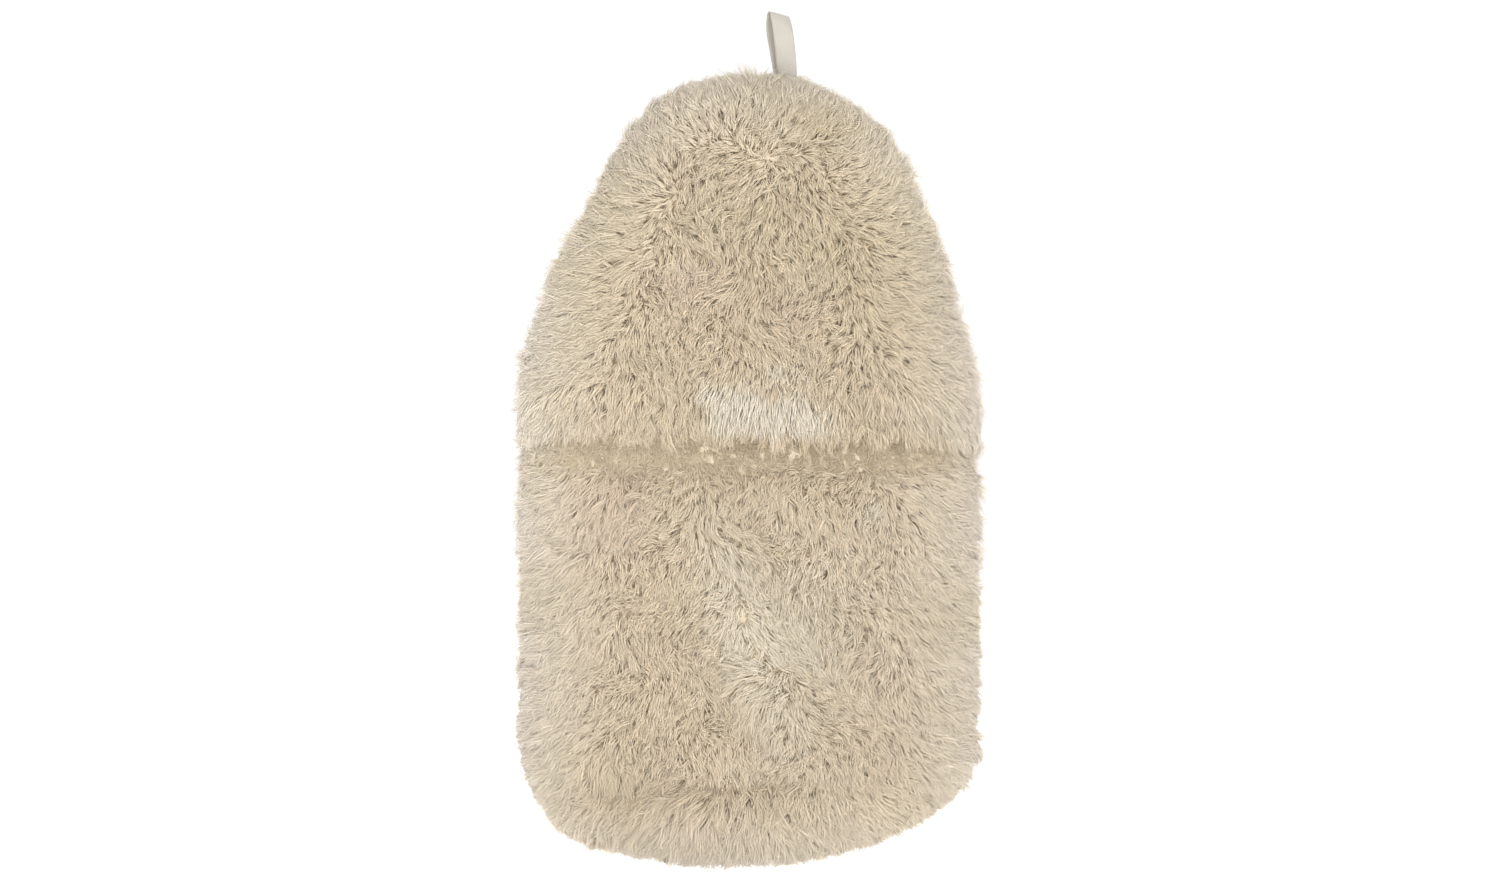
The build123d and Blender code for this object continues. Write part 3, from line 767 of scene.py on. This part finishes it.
def pile_material():
    """Acrylic pile: each strand's colour, which carries painted shade and painted rim light, mottled, with
    a soft sheen and light passing through.
    """
    material, nodes, links, bsdf = new_material("plush_pile")
    shade = nodes.new("ShaderNodeAttribute")
    shade.attribute_name = "Shade"
    mottle = noise(nodes, links, 55.0)
    tone = ramp_between(nodes, links, mottle.outputs["Fac"], (0.96, 0.955, 0.945), (1.0, 1.0, 1.0))
    product = nodes.new("ShaderNodeMix")
    product.data_type = "RGBA"
    product.blend_type = "MULTIPLY"
    product.inputs["Factor"].default_value = 1.0
    links.new(shade.outputs["Color"], product.inputs["A"])
    links.new(tone, product.inputs["B"])
    links.new(product.outputs["Result"], bsdf.inputs["Base Color"])
    bsdf.inputs["Roughness"].default_value = 0.62
    bsdf.inputs["Specular IOR Level"].default_value = 0.25
    bsdf.inputs["Sheen Weight"].default_value = 0.15
    bsdf.inputs["Sheen Roughness"].default_value = 0.4
    through = nodes.new("ShaderNodeBsdfTranslucent")
    links.new(product.outputs["Result"], through.inputs["Color"])
    mixed = nodes.new("ShaderNodeMixShader")
    mixed.inputs["Fac"].default_value = 0.25
    links.new(bsdf.outputs["BSDF"], mixed.inputs[1])
    links.new(through.outputs["BSDF"], mixed.inputs[2])
    links.new(mixed.outputs["Shader"], nodes["Material Output"].inputs["Surface"])
    return material


def cloth_material(name, base):
    """Knitted backing of the plush, or the dense underfur that hides it."""
    material, nodes, links, bsdf = new_material(name)
    mottled_colour(nodes, links, bsdf, noise(nodes, links, 90.0), base, 0.9, 1.08)
    knit = placed_texture(nodes, links, "ShaderNodeTexWave", 260.0)
    knit.inputs["Distortion"].default_value = 1.4
    add_bump(nodes, links, bsdf, knit.outputs["Fac"], 0.5, 0.4 * MM)
    bsdf.inputs["Roughness"].default_value = 0.85
    return material


PILE = pile_material()
BACKING = cloth_material("plush_backing", CLOTH_COLOUR)
UNDERFUR = cloth_material("plush_underfur", UNDERFUR_COLOUR)


# Cover


def cloth_piece(name, outside, inside, side, node):
    """Cloth with underfur outside and knitted backing inside, in place of a frame node."""
    piece = shell(name, outside, inside, side, [UNDERFUR, BACKING])
    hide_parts(node)
    return piece


def both(heights, from_x, to_x, outer, inner, side, columns=COLUMNS):
    """The outer and inner grids of a cloth."""
    outside = surface(heights, from_x, to_x, outer, side, columns)
    inside = surface(heights, from_x, to_x, inner, side, columns)
    return outside, inside


def thinner(layer):
    """The inset and half depth of a cloth's inner face."""
    return layer[0] + CLOTH, layer[1] - CLOTH


def plain_side():
    """The far side, in one cloth from base to top."""
    inset = PLAIN_CLOTH[0] + CLOTH
    heights = end_spaced(inset, HEIGHT - inset, FULL_ROWS)
    outside, inside = both(heights, None, None, PLAIN_CLOTH, thinner(PLAIN_CLOTH), 1)
    cloth = cloth_piece("plain_cloth", outside, inside, 1, "plain_panel")
    pile = grow("plain_pile", outside, 1, plain_comb, plain_heights, seed=101, spacing=PLAIN_SPACING)
    for piece in [cloth] + pile:
        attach(piece, "cover")


def clear_of_tape_and_patch(roots):
    """Roots below the pocket's hem tape and off its closure patch."""
    x, z = roots[:, 0], roots[:, 2]
    on_patch = (x > PATCH_LOW.x) & (x < PATCH_HIGH.x) & (z > PATCH_LOW.z) & (z < PATCH_HIGH.z)
    return (z < POCKET_TAPE_LOW_Z - 1 * MM) & ~on_patch


def pocket_side():
    """The lower cloth of the envelope side, from the base up under the flap."""
    inset = POCKET_CLOTH[0] + CLOTH
    low = end_spaced(inset, 2 * BASE_Z, 2 * BASE_ROWS + 1)[:BASE_ROWS + 1]
    heights = np.concatenate([low, np.linspace(low[-1], POCKET_TOP_Z, POCKET_ROWS)[1:]])
    layer = pocket_layer(heights)
    outside, inside = both(heights, None, None, layer, thinner(layer), -1)
    cloth = cloth_piece("pocket_cloth", outside, inside, -1, "pocket_panel")
    pile = grow(
        "pocket_pile", outside, -1, pocket_comb, pocket_heights, seed=102,
        keep=clear_of_tape_and_patch, gather=(0, 0.35),
    )
    for piece in [cloth] + pile:
        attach(piece, "cover")


def flap_part(name, heights, from_x, to_x, columns, node, seed):
    """Cloth and pile of one part of the flap, between two limits across."""
    outside, inside = both(heights, from_x, to_x, FLAP_CLOTH, FLAP_LINING, -1, columns)
    cloth = cloth_piece(f"{name}_cloth", outside, inside, -1, node)
    return [cloth] + grow(f"{name}_pile", outside, -1, flap_comb, flap_heights, seed)


def flap():
    """The fixed upper part, the lip, and the cloth at each side of the lip."""
    inset = FLAP_LINING[0]
    upper = end_spaced(2 * BEND_TOP_Z - HEIGHT + inset, HEIGHT - inset, FULL_ROWS)[FULL_ROWS // 2:]
    for piece in flap_part("flap_upper", upper, None, None, COLUMNS, "flap_panel", seed=103):
        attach(piece, "cover")
    lip = np.linspace(CLOTH_HEM_Z, BEND_TOP_Z, LIP_ROWS)
    ends = (LIP_HALF_WIDTH, -LIP_HALF_WIDTH)
    for piece in flap_part("flap_lip", lip, *ends, LIP_COLUMNS, "flap_lip", seed=104):
        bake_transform(piece)
    for sign, word in ((1, "right"), (-1, "left")):
        flap_side(sign, word)


def flap_side(sign, word):
    """One side of the flap, in a low part and a high part."""
    edge, seam = sign * LIP_HALF_WIDTH, None
    limits = (seam, edge) if sign > 0 else (edge, seam)
    low = np.linspace(CLOTH_HEM_Z, BEND_LOW_Z, LOW_SIDE_ROWS)
    high = np.linspace(BEND_LOW_Z, BEND_TOP_Z, HIGH_SIDE_ROWS)
    name = f"flap_{word}_low"
    for piece in flap_part(name, low, *limits, SIDE_COLUMNS, "flap_panel", seed=105 + sign):
        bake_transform(piece)
    name = f"flap_{word}_high"
    for piece in flap_part(name, high, *limits, SIDE_COLUMNS, "flap_panel", seed=108 + sign):
        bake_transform(piece)


# Ribbon


def smooth_path(knots, steps):
    """Points along a smooth curve through the knots (Catmull-Rom)."""
    padded = np.concatenate([[2 * knots[0] - knots[1]], knots, [2 * knots[-1] - knots[-2]]])
    points = []
    for i in range(len(knots) - 1):
        a, b, c, d = padded[i : i + 4]
        square, cube = 2 * a - 5 * b + 4 * c - d, 3 * b - a - 3 * c + d
        for t in np.arange(steps) / steps:
            points.append(0.5 * (2 * b + (c - a) * t + square * t**2 + cube * t**3))
    points.append(knots[-1])
    return np.array(points)


def ribbon_path(root, top):
    """Middle line of the ribbon: up its near leg, over the fold and down its far leg."""
    tall = top - root
    return np.array([
        (3.6 * MM, -0.6 * MM, root),
        (3.2 * MM, -1.6 * MM, root + 0.22 * tall),
        (2.2 * MM, -3.4 * MM, root + 0.55 * tall),
        (0.8 * MM, -3.9 * MM, root + 0.82 * tall),
        (-0.6 * MM, -2.4 * MM, top - 1.6 * MM),
        (-1.6 * MM, 0.2 * MM, top - 0.3 * MM),
        (-2.4 * MM, 2.4 * MM, top - 2.4 * MM),
        (-2.4 * MM, 3.5 * MM, root + 0.78 * tall),
        (-0.2 * MM, 2.7 * MM, root + 0.50 * tall),
        (2.0 * MM, 1.5 * MM, root + 0.2 * tall),
        (2.8 * MM, 0.7 * MM, root),
    ])


def ribbon():
    """Satin ribbon folded into a loop: the near leg is broad, the far leg shows as a strip on its left."""
    centre_x = (LOOP_LOW.x + LOOP_HIGH.x) / 2
    half_width = (LOOP_HIGH.x - LOOP_LOW.x) / 2
    root, top = LOOP_LOW.z - 6 * MM, LOOP_HIGH.z
    line = smooth_path(ribbon_path(root, top), RIBBON_STEPS)
    line[:, 0] += centre_x
    ahead = unit(np.gradient(line, axis=0))
    share = np.linspace(0, 1, len(line))[:, None]
    yaw = RIBBON_TWIST * np.sin(np.pi * share) ** 2
    wide = np.concatenate([np.cos(yaw), np.sin(yaw), np.full_like(yaw, RIBBON_TILT)], axis=1)
    wide = unit(wide - ahead * np.sum(wide * ahead, axis=1, keepdims=True))
    facing = unit(np.cross(ahead, wide))
    across = np.linspace(-1, 1, RIBBON_COLUMNS)
    cupped = RIBBON_CUP * (across**2)[None, :, None]
    sheet = line[:, None, :] + half_width * across[None, :, None] * wide[:, None, :]
    sheet = sheet + cupped * facing[:, None, :]
    front = sheet + RIBBON_HALF_THICKNESS * facing[:, None, :]
    back = sheet - RIBBON_HALF_THICKNESS * facing[:, None, :]
    piece = shell("ribbon_loop", front, back, -1, [ribbon_material()])
    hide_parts("hang_loop")
    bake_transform(piece)


def ribbon_material():
    """Satin: fine ribs across the ribbon and a long soft highlight."""
    material, nodes, links, bsdf = new_material("satin_ribbon")
    mottled_colour(nodes, links, bsdf, noise(nodes, links, 160.0), RIBBON_COLOUR, 0.94, 1.06)
    add_weave(nodes, links, bsdf, 900.0, 0.25)
    bsdf.inputs["Roughness"].default_value = 0.36
    bsdf.inputs["Sheen Weight"].default_value = 0.3
    return material


# Frame parts that stay


def woven(name, colour, scale, roughness=0.8):
    """Tape, thread or label: mottled yarn with fine ribs."""
    material, nodes, links, bsdf = new_material(name)
    mottled_colour(nodes, links, bsdf, noise(nodes, links, 220.0), colour, 0.86, 1.1)
    add_weave(nodes, links, bsdf, scale, 0.5)
    bsdf.inputs["Roughness"].default_value = roughness
    return material


def moulded(name, colour, roughness, grain, metallic=0.0):
    """Rubber, plastic or metal: a fine grain in colour, bump and roughness."""
    material, nodes, links, bsdf = new_material(name)
    fine = noise(nodes, links, grain, 6.0)
    mottled_colour(nodes, links, bsdf, fine, colour, 0.9, 1.07)
    add_bump(nodes, links, bsdf, fine.outputs["Fac"], 0.2, 0.15 * MM)
    rough = nodes.new("ShaderNodeMapRange")
    rough.inputs["To Min"].default_value = roughness - 0.08
    rough.inputs["To Max"].default_value = roughness + 0.08
    links.new(fine.outputs["Fac"], rough.inputs["Value"])
    links.new(rough.outputs["Result"], bsdf.inputs["Roughness"])
    bsdf.inputs["Metallic"].default_value = metallic
    return material


def dress_frame_parts():
    """Materials for the nodes that are shown as they are."""
    by_slot = {
        "hem_tape": woven("hem_tape_twill", (0.58, 0.51, 0.39), 500.0),
        "closure": woven("closure_nylon", (0.62, 0.57, 0.47), 340.0, 0.7),
        "thread": woven("spun_thread", (0.74, 0.67, 0.54), 900.0, 0.6),
        "label": woven("label_satin", (0.86, 0.85, 0.82), 800.0, 0.45),
        "bottle_rubber": moulded("bottle_rubber", (0.72, 0.66, 0.56), 0.55, 420.0),
        "bush_brass": moulded("bush_brass", (0.80, 0.60, 0.28), 0.3, 700.0, 1.0),
        "stopper_plastic": moulded("stopper_plastic", (0.78, 0.75, 0.69), 0.38, 600.0),
        "washer_rubber": moulded("washer_rubber", (0.09, 0.09, 0.09), 0.65, 500.0),
        "screw_steel": moulded("screw_steel", (0.62, 0.62, 0.61), 0.28, 800.0, 1.0),
    }
    for part in frame["record"]["subparts"]:
        node = frame["nodes"][part["node"]]
        if part["material_slot"] in by_slot and not node.hide_render:
            node.data.materials.clear()
            node.data.materials.append(by_slot[part["material_slot"]])


# Studio


def plane(name, points):
    """Flat face through the points."""
    mesh = bpy.data.meshes.new(name)
    mesh.from_pydata(points, [], [tuple(range(len(points)))])
    piece = bpy.data.objects.new(name, mesh)
    bpy.context.scene.collection.objects.link(piece)
    return piece


def floor():
    """Pale ground at the foot of the pile. It glows a little, so that it comes out white."""
    reach, pile_below_base = 6.0, 6 * MM
    low = cad_low.z - pile_below_base
    corners = [(-reach, -reach, low), (reach, -reach, low), (reach, reach, low), (-reach, reach, low)]
    piece = plane("floor", corners)
    material, nodes, links, bsdf = new_material("studio_floor")
    grain = noise(nodes, links, 3.0)
    colour = ramp_between(nodes, links, grain.outputs["Fac"], (0.93, 0.93, 0.93), (0.95, 0.95, 0.95))
    links.new(colour, bsdf.inputs["Base Color"])
    links.new(colour, bsdf.inputs["Emission Color"])
    bsdf.inputs["Emission Strength"].default_value = 0.75
    bsdf.inputs["Roughness"].default_value = 0.9
    piece.data.materials.append(material)


def surroundings():
    """White to the camera, and an even soft light to everything else."""
    world = bpy.data.worlds.new("studio")
    world.use_nodes = True
    bpy.context.scene.world = world
    nodes, links = world.node_tree.nodes, world.node_tree.links
    background = nodes["Background"]
    background.inputs["Color"].default_value = (1.0, 0.995, 0.985, 1)
    path = nodes.new("ShaderNodeLightPath")
    strength = nodes.new("ShaderNodeMapRange")
    strength.inputs["To Min"].default_value = LIGHT_FROM_AROUND
    strength.inputs["To Max"].default_value = LIGHT_TO_CAMERA
    links.new(path.outputs["Is Camera Ray"], strength.inputs["Value"])
    links.new(strength.outputs["Result"], background.inputs["Strength"])


def area_light(name, place, size, watts):
    """Round soft light that points at the middle of the cover."""
    light = bpy.data.lights.new(name, "AREA")
    light.shape = "DISK"
    light.size = size
    light.energy = watts
    lamp = bpy.data.objects.new(name, light)
    bpy.context.scene.collection.objects.link(lamp)
    aim(lamp, place, (0, 0, HEIGHT / 2))


def aim(item, place, target):
    """Put a light or camera at a place and point it at a target."""
    item.location = place
    item.rotation_mode = "QUATERNION"
    item.rotation_quaternion = (Vector(target) - Vector(place)).to_track_quat("-Z", "Y")


def camera():
    """Straight on to the envelope side, with a long lens."""
    shown_width = 0.75
    centre = (0.5 * MM, 0.0, 213.0 * MM)
    lens = bpy.data.cameras.new("camera")
    lens.lens, lens.sensor_width = 100.0, 36.0
    distance = shown_width * lens.lens / lens.sensor_width
    item = bpy.data.objects.new("camera", lens)
    bpy.context.scene.collection.objects.link(item)
    aim(item, (centre[0], -distance, centre[2]), centre)
    bpy.context.scene.camera = item


def studio():
    """Pale floor and surroundings, soft lights, and the camera."""
    floor()
    surroundings()
    area_light("key", place=(-0.6, -1.9, 1.0), size=1.6, watts=19.0)
    area_light("fill", place=(1.0, -1.8, 0.3), size=1.8, watts=20.0)
    area_light("left", place=(-1.9, -0.3, 0.5), size=1.4, watts=7.6)
    area_light("right", place=(1.9, -0.3, 0.3), size=1.4, watts=7.8)
    area_light("top", place=(0.1, -0.4, 2.2), size=1.4, watts=8.0)
    area_light("back", place=(0.3, 1.7, 1.0), size=1.6, watts=24.0)
    camera()
    bpy.context.scene.view_settings.view_transform = "Standard"
    light_paths = bpy.context.scene.cycles
    light_paths.max_bounces = PILE_BOUNCES
    light_paths.diffuse_bounces = PILE_BOUNCES
    light_paths.transmission_bounces = PILE_BOUNCES


plain_side()
pocket_side()
flap()
ribbon()
dress_frame_parts()
studio()
